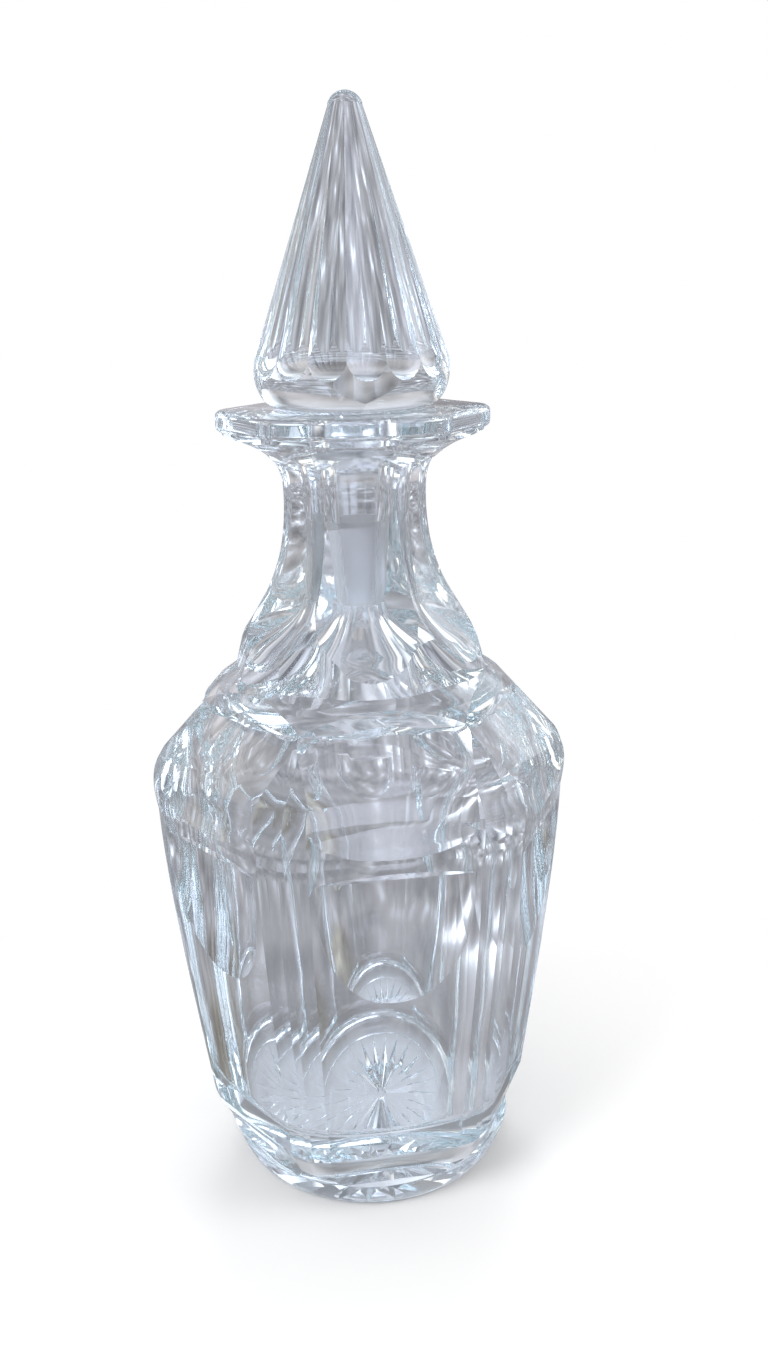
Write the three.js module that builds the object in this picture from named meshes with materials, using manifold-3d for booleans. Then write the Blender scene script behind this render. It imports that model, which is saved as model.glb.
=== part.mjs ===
import * as THREE from "three";
import { mergeVertices } from "three/addons/utils/BufferGeometryUtils.js";
import Module from "manifold-3d";

// A cut glass liquor decanter: a thick-walled bottle and the pointed stopper that plugs its neck.
// Millimetres, +Z up, origin in the middle of the foot, one wide panel of the body facing -Y.
// An azimuth is in degrees from -Y, positive towards +X.

// Heights of the bottle's zones, each measured up from the one before it
const footHeight = 9;
const bevelHeight = 11;
const wallHeight = 93;
const bulgeHeight = 16;
const shoulderHeight = 19;
const collarBevelHeight = 3.3;
const collarHeight = 8.7;
const lowerNeckHeight = 39;
const upperNeckHeight = 17.7;
const lipThickness = 5.6;

// Outer radii of the bottle, measured over its ridges
const footRadius = 36.5;
const bevelRadius = 42.1;
const wallFootRadius = 47.9;
const wallTopRadius = 58.7;
const bulgeTopRadius = 57;
const bulgeSwell = 3.6;
const shoulderTopRadius = 40.2;
const collarRadius = 35.4;
const neckFootRadius = 33.2;
const waistRadius = 19.7;

// The flat lip, a hexagon with round corners
const lipAcrossFlats = 67.2;
const lipCornerRound = 13.5;
const lipEdgeRound = 1.6;
const lipTurn = -7.7;

// Glass left between the outside and the hollow
const baseThickness = 25;
const floorDome = 4.5;
const floorRound = 4;
const wallFootThickness = 9;
const wallThickness = 14.5;
const shoulderThickness = 9;

// Six wide flat panels with a raised rib of three narrow facets between each two
const sideCount = 6;
const panelHalfAngle = 22.9;
const ribHalfAngle = 2.7;
const panelInset = 0.8;
const crestCut = 0.3;
const panelTopDrop = 4.2;
const panelFootRise = 3;

// A shallow hollow slice down each panel's shoulder and bulge, arched on top and round below
const sliceTopDrop = 1.5;
const sliceArch = 5;
const sliceFootRise = 1.5;
const sliceFootRound = 9;
const sliceHalfWidth = 21.4;
const sliceHollowRadius = 70;

// A half-moon hollow in each panel, with a straight ledge on top
const moonTopDrop = 4;
const moonHeight = 37;
const moonHalfWidth = 21;
const moonDepth = 6;
const moonFullness = 2.25;

// Six hollow flutes round the neck and six flats round its collar
const neckTurn = -3.5;
const fluteHollowRadius = 45;
const fluteTopDrop = 4;
const fluteTopRun = 4.5;
const fluteFootDrop = 4.7;
const fluteFootRun = 19;
const collarFlatInset = 1.5;

// The star cut under the foot, in a shallow recess that keeps it off the table
const starRays = 24;
const starTurn = 2.5;
const starRadius = 30;
const starDepth = 1.6;
const rayHalfWidth = 1.7;
const starButtonRadius = 2.4;
const recessRadius = 31;
const recessDepth = 0.8;

// The ground bore, the plug that seats in it and the running gap between them
const plugLength = 53.8;
const plugFootRadius = 7.1;
const plugTaper = 0.085;
const plugFootRound = 2.4;
const groundLength = 24.5;
const plugTopDrop = 4;
const plugTopFlare = 1.4;
const mouthRadius = 13;
const seatGap = 0.3;

// The stopper above the lip: a round bulb that runs up into a cone of long hollow facets
const bulbSeatRadius = 20.5;
const bulbRadius = 26.1;
const bulbHeight = 16;
const coneFootRadius = 24.6;
const coneHeight = 61.4;
const coneTipRadius = 4.7;
const facetCount = 16;
const facetInset = 0.15;
const facetHollowRadius = 16;

// How full the curves are: shares of the width or height that each one crosses
const footPulls = { lowOut: 0.42, lowUp: 0.02, highOut: 0.72, highUp: 0.5 };
const wallPulls = { lowOut: 0.41, lowUp: 0.33, highOut: 0.91, highUp: 0.72 };
const bulgePulls = { lowSwell: 0.32, lowUp: 0.38, highUp: 0.68 };
const neckPulls = { lowOut: 0.64, lowUp: 0.35, highUp: 0.56 };
const flarePulls = { lowUp: 0.45, highOut: 0.06, highUp: 0.75 };
const hollowPulls = { wallOut: 0.2, wallUp: 0.5, shoulderUp: 0.25, turnIn: 0.4 };
const throatPulls = { lowIn: 0.65, lowUp: 0.4, highOut: 1.15, highUp: 0.62 };
const bulbPulls = { lowIn: 0.6, lowUp: 0.08, highOut: 1.4, highUp: 0.62 };

// How far the cutters reach through the air beside the glass, as shares of what they cut
const cutterReach = {
  sideOut: 1.5, panelOut: 1.4, panelAcross: 3, panelFoot: 2, moonAcross: 1.1, collarAcross: 0.6,
};
const lipCutter = { out: 1.2, down: 1.6, up: 0.5, slack: 1 };

// Where the collar's flats start, and the form of a star ray: shares of the bevel, of the ray's width and depth
const collarFlatStart = 0.125;
const rayForm = { rootOut: 0.4, rootWidth: 0.5, rootDepth: 0.8, widestAt: 0.5, tipWidth: 0.1 };

// Roundness of the faceted solids
const curveSteps = 6;
const stopperSegments = 36;
const boreSegments = 36;
const blankStep = 10;
const blankStepsAside = 2;

const degrees = Math.PI / 180;
const sideStep = 360 / sideCount;
const wasm = await Module();
wasm.setup();

// Levels, worked out from the heights
const footTop = footHeight;
const wallFoot = footTop + bevelHeight;
const wallTop = wallFoot + wallHeight;
const bulgeTop = wallTop + bulgeHeight;
const shoulderTop = bulgeTop + shoulderHeight;
const collarFoot = shoulderTop + collarBevelHeight;
const neckFoot = collarFoot + collarHeight;
const waist = neckFoot + lowerNeckHeight;
const lipUnder = waist + upperNeckHeight;
const lipTop = lipUnder + lipThickness;
const plugFoot = lipTop - plugLength;
const groundTop = plugFoot + groundLength;
const seat = lipTop + seatGap;
const lipApothem = lipAcrossFlats / 2;
const lipCornerRadius = lipApothem / Math.cos(Math.PI / sideCount);

// Radius and height as a 2-D point
function point(radius, level) {
  return new THREE.Vector2(radius, level);
}

// Points along a cubic curve, without its first point
function curveTo(start, pullStart, pullEnd, end) {
  return new THREE.CubicBezierCurve(start, pullStart, pullEnd, end).getPoints(curveSteps).slice(1);
}

// The point at an azimuth on a circle, at a level
function onCircle(radius, azimuth, level) {
  const turn = azimuth * degrees;
  return new THREE.Vector3(radius * Math.sin(turn), -radius * Math.cos(turn), level);
}

// A closed solid through rings of points, each ring anticlockwise seen from above, lowest first
function loft(rings) {
  const count = rings[0].length;
  const places = [];
  for (let level = 0; level + 1 < rings.length; level++) {
    for (let i = 0; i < count; i++) {
      const [low, high] = [rings[level], rings[level + 1]];
      const next = (i + 1) % count;
      places.push(low[i], low[next], high[next], low[i], high[next], high[i]);
    }
  }
  for (const [ring, facesUp] of [[rings[0], false], [rings.at(-1), true]]) {
    const middle = ring.reduce((sum, p) => sum.add(p), new THREE.Vector3()).divideScalar(count);
    for (let i = 0; i < count; i++) {
      const edge = [ring[i], ring[(i + 1) % count]];
      places.push(middle, ...(facesUp ? edge : edge.reverse()));
    }
  }
  return solidOf(new THREE.BufferGeometry().setFromPoints(places));
}

// A three.js geometry as a solid that can be cut and joined
function solidOf(geometry) {
  const bare = geometry.clone();
  bare.deleteAttribute("normal");
  bare.deleteAttribute("uv");
  const merged = mergeVertices(bare, 1e-4);
  const vertProperties = merged.attributes.position.array;
  const triVerts = new Uint32Array(merged.index.array);
  return new wasm.Manifold(new wasm.Mesh({ numProp: 3, vertProperties, triVerts }));
}

// A profile turned round the Z axis
function turnedSolid(profile, segments) {
  return solidOf(new THREE.LatheGeometry(profile, segments).rotateX(Math.PI / 2));
}

// A point a distance out from the axis at an azimuth, and a distance across to its right
function placed(out, across, azimuth, level) {
  const turn = azimuth * degrees;
  return new THREE.Vector3(
    out * Math.sin(turn) + across * Math.cos(turn), -out * Math.cos(turn) + across * Math.sin(turn), level);
}

// The same cut made at every side, turned by its own angle
function roundTheSides(cutAt, firstTurn) {
  return Array.from({ length: sideCount }, (_, side) => cutAt(firstTurn + side * sideStep));
}

// A named mesh with its material
function meshOf(name, solid, material) {
  const { vertProperties, triVerts } = solid.getMesh();
  const geometry = new THREE.BufferGeometry();
  geometry.setAttribute("position", new THREE.BufferAttribute(vertProperties, 3));
  geometry.setIndex(new THREE.BufferAttribute(triVerts, 1));
  geometry.computeVertexNormals();
  const mesh = new THREE.Mesh(geometry, material);
  mesh.name = name;
  return mesh;
}

// The outside of the bottle over its ridges, from the foot up to the lip
function outerProfile() {
  const footStart = point(footRadius, 0);
  const footEnd = point(bevelRadius, footTop);
  const wallStart = point(wallFootRadius, wallFoot);
  const wallEnd = point(wallTopRadius, wallTop);
  const bulgeEnd = point(bulgeTopRadius, bulgeTop);
  const neckStart = point(neckFootRadius, neckFoot);
  const waistPoint = point(waistRadius, waist);
  const lipStart = point(lipCornerRadius - lipEdgeRound, lipUnder);
  const between = (start, end, out, up) => point(
    THREE.MathUtils.lerp(start.x, end.x, out), THREE.MathUtils.lerp(start.y, end.y, up));
  return [
    footStart,
    ...curveTo(footStart, between(footStart, footEnd, footPulls.lowOut, footPulls.lowUp),
      between(footStart, footEnd, footPulls.highOut, footPulls.highUp), footEnd),
    wallStart,
    ...curveTo(wallStart, between(wallStart, wallEnd, wallPulls.lowOut, wallPulls.lowUp),
      between(wallStart, wallEnd, wallPulls.highOut, wallPulls.highUp), wallEnd),
    ...curveTo(wallEnd,
      point(wallTopRadius + bulgeSwell * bulgePulls.lowSwell, wallTop + bulgeHeight * bulgePulls.lowUp),
      point(bulgeTopRadius + bulgeSwell, wallTop + bulgeHeight * bulgePulls.highUp), bulgeEnd),
    point(shoulderTopRadius, shoulderTop),
    point(collarRadius, collarFoot),
    neckStart,
    ...curveTo(neckStart, between(neckStart, waistPoint, neckPulls.lowOut, neckPulls.lowUp),
      between(neckStart, waistPoint, 1, neckPulls.highUp), waistPoint),
    ...curveTo(waistPoint, between(waistPoint, lipStart, 0, flarePulls.lowUp),
      between(waistPoint, lipStart, flarePulls.highOut, flarePulls.highUp), lipStart),
    point(lipCornerRadius, lipUnder + lipEdgeRound),
    point(lipCornerRadius, lipTop),
  ];
}

// The radius of a profile at a level
function radiusAt(profile, level) {
  const upper = profile.findIndex((p) => p.y >= level);
  if (upper <= 0) return profile.at(upper).x;
  const [a, b] = [profile[upper - 1], profile[upper]];
  return THREE.MathUtils.lerp(a.x, b.x, (level - a.y) / (b.y - a.y));
}

// The round blank, with corners on the edges of its panels and ribs
function blank(profile) {
  const corners = [];
  const roundOffsets = [];
  for (let i = -blankStepsAside; i <= blankStepsAside; i++) roundOffsets.push(i * blankStep);
  const ribOffsets = [sideStep / 2 - ribHalfAngle, sideStep / 2 + ribHalfAngle];
  for (let side = 0; side < sideCount; side++) {
    for (const offset of [...roundOffsets, ...ribOffsets]) corners.push(side * sideStep + offset);
  }
  return loft(profile.map((p) => corners.map((azimuth) => onCircle(p.x, azimuth, p.y))));
}

// A cut whose face stands at a distance from the axis that changes with the level, hollow or flat
function sideCut(azimuth, steps, halfWidth, hollowRadius = Infinity, arch = 0) {
  const parts = hollowRadius === Infinity && arch === 0 ? 1 : curveSteps;
  const reach = wallTopRadius * cutterReach.sideOut;
  const rings = steps.map(([level, distance], step) => {
    const ring = [];
    const isTop = step === steps.length - 1;
    for (let i = 0; i <= parts; i++) {
      const share = (2 * i) / parts - 1;
      const across = halfWidth * share;
      const hollow = hollowRadius === Infinity ? 0 : sagitta(hollowRadius, across);
      ring.push(placed(distance + hollow, across, azimuth, level - (isTop ? arch * share ** 2 : 0)));
    }
    const side = level - (isTop ? arch : 0);
    ring.push(placed(reach, halfWidth, azimuth, side), placed(reach, -halfWidth, azimuth, side));
    return ring.reverse();
  });
  return loft(rings);
}

// How far an arc falls away from its middle at a distance across
function sagitta(radius, across) {
  return radius - Math.sqrt(radius ** 2 - across ** 2);
}

// The cut that makes one wide panel and the near flanks of the ribs beside it
function panelCut(profile, azimuth) {
  const steps = [[footTop, panelInset * cutterReach.panelFoot], [footTop + panelFootRise, 0], [wallFoot, 0]];
  for (let i = 1; i <= curveSteps; i++) steps.push([wallFoot + (wallHeight * i) / curveSteps, 0]);
  for (const { y } of profile) if (y > wallTop && y < bulgeTop) steps.push([y, 0]);
  steps.push([bulgeTop, 0], [shoulderTop - panelTopDrop, 0]);
  const rings = steps.map(([level, outward]) => {
    const ridge = radiusAt(profile, level) + outward;
    const half = (side) => {
      const edge = onCircle(ridge - panelInset, azimuth + side * panelHalfAngle, level);
      const crest = onCircle(ridge - crestCut, azimuth + side * (sideStep / 2 - ribHalfAngle), level);
      const outer = edge.clone().lerp(crest, cutterReach.panelAcross);
      const back = onCircle(ridge * cutterReach.panelOut, azimuth + side * panelHalfAngle, level);
      return [edge, outer, back];
    };
    return [...half(-1).reverse(), ...half(1)].reverse();
  });
  return loft(rings);
}

// How far a wide panel stands from the axis
function panelAt(profile, level) {
  return (radiusAt(profile, level) - panelInset) * Math.cos(panelHalfAngle * degrees);
}

// The shallow hollow slice: it starts round on the bulge and stops at an arched ledge
function sliceCut(profile, azimuth) {
  const full = wallTop + sliceFootRise + sliceFootRound;
  const steps = [];
  for (let i = 0; i <= curveSteps; i++) {
    const fall = Math.cos((Math.PI / 2) * (i / curveSteps));
    const level = full - sliceFootRound * fall;
    const halfWidth = sliceHalfWidth * Math.sqrt(1 - fall ** 2);
    steps.push([level, panelAt(profile, level) - sagitta(sliceHollowRadius, halfWidth)]);
  }
  const depth = sagitta(sliceHollowRadius, sliceHalfWidth);
  const levels = profile.map((p) => p.y).filter((y) => y > full && y < bulgeTop);
  for (const level of [...levels, bulgeTop, shoulderTop - sliceTopDrop]) {
    steps.push([level, panelAt(profile, level) - depth]);
  }
  return sideCut(azimuth, steps, wallTopRadius / 2, sliceHollowRadius, sliceArch);
}

// The half-moon: a hollow with a straight ledge on top that runs out below
function moonCut(profile, azimuth) {
  const top = wallTop - moonTopDrop;
  const hollowRadius = (moonHalfWidth ** 2 + moonDepth ** 2) / (2 * moonDepth);
  const steps = [];
  for (let i = 0; i <= 2 * curveSteps; i++) {
    const fall = Math.cos((Math.PI / 2) * (i / (2 * curveSteps)));
    const halfWidth = moonHalfWidth * (1 - fall ** moonFullness) ** (1 / moonFullness);
    const level = top - moonHeight * fall;
    steps.push([level, panelAt(profile, level) - sagitta(hollowRadius, halfWidth)]);
  }
  return sideCut(azimuth, steps, moonHalfWidth * cutterReach.moonAcross, hollowRadius);
}

// One hollow flute of the neck, running out on the collar below and under the lip above
function fluteCut(profile, azimuth) {
  const low = neckFoot - fluteFootDrop;
  const high = lipUnder - fluteTopDrop;
  const steps = [[low - seatGap, radiusAt(profile, low) + seatGap]];
  const fullDepth = (level) => {
    const ridge = radiusAt(profile, level) - crestCut;
    const half = ridge * Math.sin((sideStep / 2) * degrees);
    const hollow = ridge * Math.cos((sideStep / 2) * degrees) - sagitta(fluteHollowRadius, half);
    return radiusAt(profile, level) - hollow;
  };
  const count = 2 * curveSteps;
  for (let i = 1; i <= count; i++) {
    const level = THREE.MathUtils.lerp(low, high - fluteTopRun, i / count);
    const share = Math.min(1, (level - low) / fluteFootRun);
    steps.push([level, radiusAt(profile, level) - fullDepth(level) * Math.sin((Math.PI / 2) * share)]);
  }
  steps.push([high, radiusAt(profile, high) + seatGap]);
  return sideCut(azimuth, steps, waistRadius, fluteHollowRadius);
}

// A flat on the collar, over a rib, that runs out on the neck above
function collarCut(profile, azimuth) {
  const lean = (collarRadius - neckFootRadius) / collarHeight;
  const flat = (level) => collarRadius - collarFlatInset - lean * (level - collarFoot);
  const low = shoulderTop + collarBevelHeight * collarFlatStart;
  const high = neckFoot + collarHeight;
  return sideCut(azimuth, [[low, radiusAt(profile, low) + seatGap], [collarFoot, flat(collarFoot)],
    [high, flat(high)]], collarRadius * cutterReach.collarAcross);
}

// The lip's hexagon with round corners, smaller all round by an inset
function lipRing(inset, level) {
  const reach = (lipApothem - lipCornerRound) / Math.cos(Math.PI / sideCount);
  const round = lipCornerRound - inset;
  const ring = [];
  for (let corner = 0; corner < sideCount; corner++) {
    const turn = (corner * sideStep + lipTurn) * degrees;
    for (let i = 0; i <= curveSteps; i++) {
      const angle = turn + (Math.PI / sideCount) * ((2 * i) / curveSteps - 1);
      ring.push(new THREE.Vector3(reach * Math.cos(turn) + round * Math.cos(angle),
        reach * Math.sin(turn) + round * Math.sin(angle), level));
    }
  }
  return ring;
}

// All the glass outside the lip's hexagon and its round edges
function lipCut() {
  const low = lipTop - lipThickness * lipCutter.down;
  const high = lipTop + lipThickness * lipCutter.up;
  const reach = lipCornerRadius * lipCutter.out;
  const wide = (level) => Array.from({ length: sideCount }, (_, i) => onCircle(reach, i * sideStep, level));
  const rings = [lipRing(lipEdgeRound, low - lipCutter.slack)];
  for (let i = 0; i <= curveSteps; i++) {
    const turn = (Math.PI / 2) * (i / curveSteps);
    rings.push(lipRing(lipEdgeRound * (1 - Math.sin(turn)), lipUnder + lipEdgeRound * (1 - Math.cos(turn))));
  }
  for (let i = 0; i <= curveSteps; i++) {
    const turn = (Math.PI / 2) * (i / curveSteps);
    rings.push(lipRing(lipEdgeRound * (1 - Math.cos(turn)), lipTop - lipEdgeRound * (1 - Math.sin(turn))));
  }
  rings.push(lipRing(lipEdgeRound, high + lipCutter.slack));
  return loft([wide(low), wide(high)]).subtract(loft(rings));
}

// The hollow of the bottle, with the ground bore and the open mouth
function cavityProfile(outer) {
  const wallInside = (level) => radiusAt(outer, level) - THREE.MathUtils.lerp(
    wallFootThickness, wallThickness, (level - wallFoot) / wallHeight);
  const last = baseThickness + floorRound;
  const rim = wallInside(last) - floorRound;
  const profile = [];
  for (let i = 0; i < curveSteps; i++) {
    const share = i / curveSteps;
    profile.push(point(rim * share, baseThickness + floorDome * (1 - share ** 2)));
  }
  for (let i = 0; i <= curveSteps; i++) {
    const turn = (Math.PI / 2) * (i / curveSteps);
    profile.push(point(rim + floorRound * Math.sin(turn), last - floorRound * Math.cos(turn)));
  }
  for (let i = 1; i <= curveSteps; i++) {
    const level = THREE.MathUtils.lerp(last, wallTop, i / curveSteps);
    profile.push(point(wallInside(level), level));
  }
  const shoulderFall = (bulgeTopRadius - shoulderTopRadius) / shoulderHeight;
  const inward = shoulderThickness * Math.hypot(1, shoulderFall);
  const shoulderInside = (level) => point(bulgeTopRadius - inward - shoulderFall * (level - bulgeTop), level);
  const low = shoulderInside(bulgeTop + shoulderHeight * hollowPulls.shoulderUp);
  const high = shoulderInside(shoulderTop - shoulderThickness / 2);
  const turnIn = shoulderHeight * hollowPulls.turnIn;
  const wallEnd = profile.at(-1);
  profile.push(...curveTo(wallEnd,
    point(wallEnd.x + bulgeSwell * hollowPulls.wallOut, wallTop + bulgeHeight * hollowPulls.wallUp),
    point(low.x + shoulderFall * turnIn, low.y - turnIn), low));
  profile.push(high);
  const bore = boreProfile();
  const throat = plugFoot - high.y;
  profile.push(...curveTo(high, point(high.x * throatPulls.lowIn, high.y + throat * throatPulls.lowUp),
    point(bore[0].x * throatPulls.highOut, high.y + throat * throatPulls.highUp), bore[0]));
  profile.push(...bore.slice(1));
  const over = lipTop + lipThickness;
  const flare = (mouthRadius - bore[1].x) / (lipTop - groundTop);
  profile.push(point(mouthRadius, lipTop), point(mouthRadius + flare * lipThickness, over), point(0, over));
  return profile;
}

// The ground taper of the bore, a running gap wider than the plug
function boreProfile() {
  return [plugFoot, groundTop].map((level) => point(plugRadiusAt(level) + seatGap, level));
}

// Radius of the plug at a level
function plugRadiusAt(level) {
  return plugFootRadius + plugTaper * (level - plugFoot);
}

// One V-shaped ray of the star, widest at its middle and pointed at its end
function rayCut(azimuth) {
  const below = -recessDepth;
  const spread = (starDepth + recessDepth - below) / starDepth;
  const stations = [
    { out: rayForm.rootOut, half: rayHalfWidth * rayForm.rootWidth, depth: starDepth * rayForm.rootDepth },
    { out: starRadius * rayForm.widestAt, half: rayHalfWidth, depth: starDepth },
    { out: starRadius, half: rayHalfWidth * rayForm.tipWidth, depth: 0 },
  ];
  return loft(stations.map(({ out, half, depth }) => [
    placed(out, 0, azimuth, recessDepth + depth),
    placed(out, -half * spread, azimuth, below),
    placed(out, half * spread, azimuth, below),
  ]));
}

// The whole bottle, one piece of glass
function bottleSolid() {
  const profile = outerProfile();
  const turnedPlate = (radius, top) => turnedSolid(
    [point(0, -recessDepth), point(radius, -recessDepth), point(radius, top), point(0, top)], boreSegments);
  const rays = Array.from({ length: starRays }, (_, ray) => rayCut(starTurn + (ray * 360) / starRays));
  const cuts = [
    ...roundTheSides((azimuth) => panelCut(profile, azimuth), 0),
    ...roundTheSides((azimuth) => sliceCut(profile, azimuth), 0),
    ...roundTheSides((azimuth) => moonCut(profile, azimuth), 0),
    ...roundTheSides((azimuth) => fluteCut(profile, azimuth), neckTurn),
    ...roundTheSides((azimuth) => collarCut(profile, azimuth), sideStep / 2),
    lipCut(),
    turnedSolid(cavityProfile(profile), boreSegments),
    turnedPlate(recessRadius, recessDepth),
    turnedPlate(starButtonRadius, recessDepth + starDepth),
    ...rays,
  ];
  return cuts.reduce((glass, cut) => glass.subtract(cut), blank(profile));
}

// The stopper turned round its axis: plug, bulb, cone and dome
function stopperProfile() {
  const coneFoot = point(coneFootRadius, seat + bulbHeight);
  const domeMiddle = coneFoot.y + coneHeight - coneTipRadius;
  const lean = Math.atan((coneFootRadius - coneTipRadius) / (coneHeight - coneTipRadius));
  const profile = [point(0, plugFoot)];
  for (let i = 0; i <= curveSteps; i++) {
    const turn = (Math.PI / 2) * (i / curveSteps);
    profile.push(point(plugRadiusAt(plugFoot) - plugFootRound * (1 - Math.sin(turn)),
      plugFoot + plugFootRound * (1 - Math.cos(turn))));
  }
  const plugTop = seat - plugTopDrop;
  const bulbStart = point(bulbSeatRadius, seat);
  profile.push(point(plugRadiusAt(groundTop), groundTop), point(plugRadiusAt(plugTop), plugTop));
  profile.push(point(plugRadiusAt(seat) + plugTopFlare, seat), bulbStart);
  profile.push(...curveTo(bulbStart, point(bulbRadius - bulbPulls.lowIn, seat + bulbHeight * bulbPulls.lowUp),
    point(bulbRadius + bulbPulls.highOut, seat + bulbHeight * bulbPulls.highUp), coneFoot));
  for (let i = 0; i <= curveSteps; i++) {
    const turn = THREE.MathUtils.lerp(lean, Math.PI / 2, i / curveSteps);
    profile.push(point(i === curveSteps ? 0 : coneTipRadius * Math.cos(turn),
      domeMiddle + coneTipRadius * Math.sin(turn)));
  }
  return profile;
}

// One long hollow facet up the cone, running out on the bulb
function facetCut(profile, azimuth) {
  const [foot, top] = profile.slice(-curveSteps - 2);
  const slope = (foot.x - top.x) / (top.y - foot.y);
  const halfTurn = Math.PI / facetCount;
  const steps = [];
  for (const level of [seat, foot.y, top.y]) {
    const ridge = foot.x + slope * (foot.y - level) - facetInset;
    const hollow = sagitta(facetHollowRadius, ridge * Math.sin(halfTurn));
    steps.push([level, ridge * Math.cos(halfTurn) - hollow]);
  }
  return sideCut(azimuth, steps, coneFootRadius / 3, facetHollowRadius);
}

// The whole stopper, one piece of glass
function stopperSolid() {
  const profile = stopperProfile();
  const facets = Array.from({ length: facetCount }, (_, i) => facetCut(profile, (i * 360) / facetCount));
  return facets.reduce((glass, cut) => glass.subtract(cut), turnedSolid(profile, stopperSegments));
}

const glassColour = 0xdfe4e6;
const bottleGlass = new THREE.MeshStandardMaterial({
  color: glassColour, roughness: 0.03, metalness: 0, transparent: true, opacity: 0.35 });
const stopperGlass = new THREE.MeshStandardMaterial({
  color: glassColour, roughness: 0.05, metalness: 0, transparent: true, opacity: 0.35 });

const decanter = new THREE.Group();
decanter.add(meshOf("bottle", bottleSolid(), bottleGlass));
decanter.add(meshOf("stopper", stopperSolid(), stopperGlass));

export default decanter;
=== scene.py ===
import math
from types import SimpleNamespace

import bpy
from mathutils import Matrix, Vector


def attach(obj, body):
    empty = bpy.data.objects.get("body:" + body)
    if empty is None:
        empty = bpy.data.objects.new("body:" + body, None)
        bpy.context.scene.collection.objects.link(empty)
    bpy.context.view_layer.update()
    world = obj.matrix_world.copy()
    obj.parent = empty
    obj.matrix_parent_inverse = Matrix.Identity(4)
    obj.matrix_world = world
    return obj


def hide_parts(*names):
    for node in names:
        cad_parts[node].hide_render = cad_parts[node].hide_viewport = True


# A cut glass liquor decanter: a thick-walled bottle, and the pointed stopper that plugs its neck.
# Lengths in the dictionaries are millimetres; azimuths are degrees from -Y, positive towards +X.
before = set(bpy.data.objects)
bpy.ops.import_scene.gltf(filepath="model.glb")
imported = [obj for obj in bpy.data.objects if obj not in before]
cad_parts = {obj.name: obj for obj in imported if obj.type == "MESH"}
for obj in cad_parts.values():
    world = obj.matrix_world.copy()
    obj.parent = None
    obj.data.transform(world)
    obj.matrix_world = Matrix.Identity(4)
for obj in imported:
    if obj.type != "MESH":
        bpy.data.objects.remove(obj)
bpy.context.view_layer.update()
mm = 0.001

bottleSizes = {
    # heights of the zones, each measured up from the one below
    "footHeight": 9, "bevelHeight": 11, "wallHeight": 93, "bulgeHeight": 16, "shoulderHeight": 19,
    "collarBevelHeight": 3.3, "collarHeight": 8.7, "lowerNeckHeight": 39, "upperNeckHeight": 17.7,
    "lipThickness": 5.6,
    # outer radii over the ridges
    "footRadius": 36.5, "bevelRadius": 42.1, "wallFootRadius": 47.9, "wallTopRadius": 58.7,
    "bulgeTopRadius": 57, "bulgeSwell": 3.54, "shoulderTopRadius": 40.2, "collarRadius": 35.4,
    "neckFootRadius": 33.2, "waistRadius": 19.7,
    # the lip, a hexagon with round corners
    "lipAcrossFlats": 67.2, "lipCornerRound": 13.5, "lipEdgeRound": 1.6, "lipTurn": -7.7,
    # glass between the outside and the hollow
    "baseThickness": 25, "floorDome": 4.5, "floorRound": 4, "wallFootThickness": 9, "wallThickness": 14.5,
    "shoulderThickness": 9,
}
cutSizes = {
    # the wide panels and the ribs between them
    "sideCount": 6, "panelHalfAngle": 22.9, "ribHalfAngle": 2.7, "panelInset": 0.8, "crestCut": 0.3,
    "panelTopDrop": 4.2, "panelFootRise": 3,
    # the hollow slice over bulge and shoulder
    "sliceTopDrop": 1.5, "sliceArch": 5, "sliceFootRise": 1.5, "sliceFootRound": 9, "sliceHalfWidth": 21.4,
    "sliceHollowRadius": 70,
    # the half-moon under it
    "moonTopDrop": 4, "moonHeight": 37, "moonHalfWidth": 21, "moonDepth": 6, "moonFullness": 2.25,
    # the flutes of the neck and the flats of the collar
    "neckTurn": -3.5, "fluteHollowRadius": 45, "fluteTopDrop": 4, "fluteTopRun": 4.5,
    "fluteFootDrop": 4.7, "fluteFootRun": 19, "collarFlatInset": 1.5, "collarFlatStart": 0.125,
    # the star under the foot, in its recess
    "starRays": 24, "starTurn": 2.5, "starRadius": 30, "starDepth": 1.6, "rayHalfWidth": 1.7,
    "rayLengthChange": 0.03, "starButtonRadius": 2.4, "recessRadius": 31, "recessDepth": 0.8,
}
stopperSizes = {
    # the plug, and the bore that it seats in
    "plugLength": 53.8, "plugFootRadius": 7.1, "plugTaper": 0.085, "plugFootRound": 2.4, "plugTopDrop": 4,
    "plugTopFlare": 1.4, "groundLength": 24.5, "mouthRadius": 13, "seatGap": 0.3,
    # bulb and cone above the lip
    "bulbSeatRadius": 20.5, "bulbRadius": 26.1, "bulbHeight": 16, "coneFootRadius": 24.6,
    "coneHeight": 61.4, "coneTipRadius": 4.7, "facetCount": 16, "facetInset": 0.15,
    "facetHollowRadius": 16, "facetFootDrop": 2,
    # where the ground zones end: above the plug's foot, and beside plug and bore
    "groundFootGap": 1.5, "plugGroundReach": 0.5, "boreGroundReach": 0.15,
}
# How full the curves are: shares of the width or height that each one crosses
pulls = {
    "foot": (0.42, 0.02, 0.72, 0.5), "wall": (0.41, 0.33, 0.91, 0.72), "bulge": (0.32, 0.38, 1, 0.68),
    "neck": (0.64, 0.35, 1, 0.56), "flare": (0, 0.45, 0.06, 0.75), "throat": (0.65, 0.4, 1.15, 0.62),
    "bulb": (-0.6, 0.08, 1.4, 0.62), "hollow": (0.2, 0.5, 0.25, 0.4),
}
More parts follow.
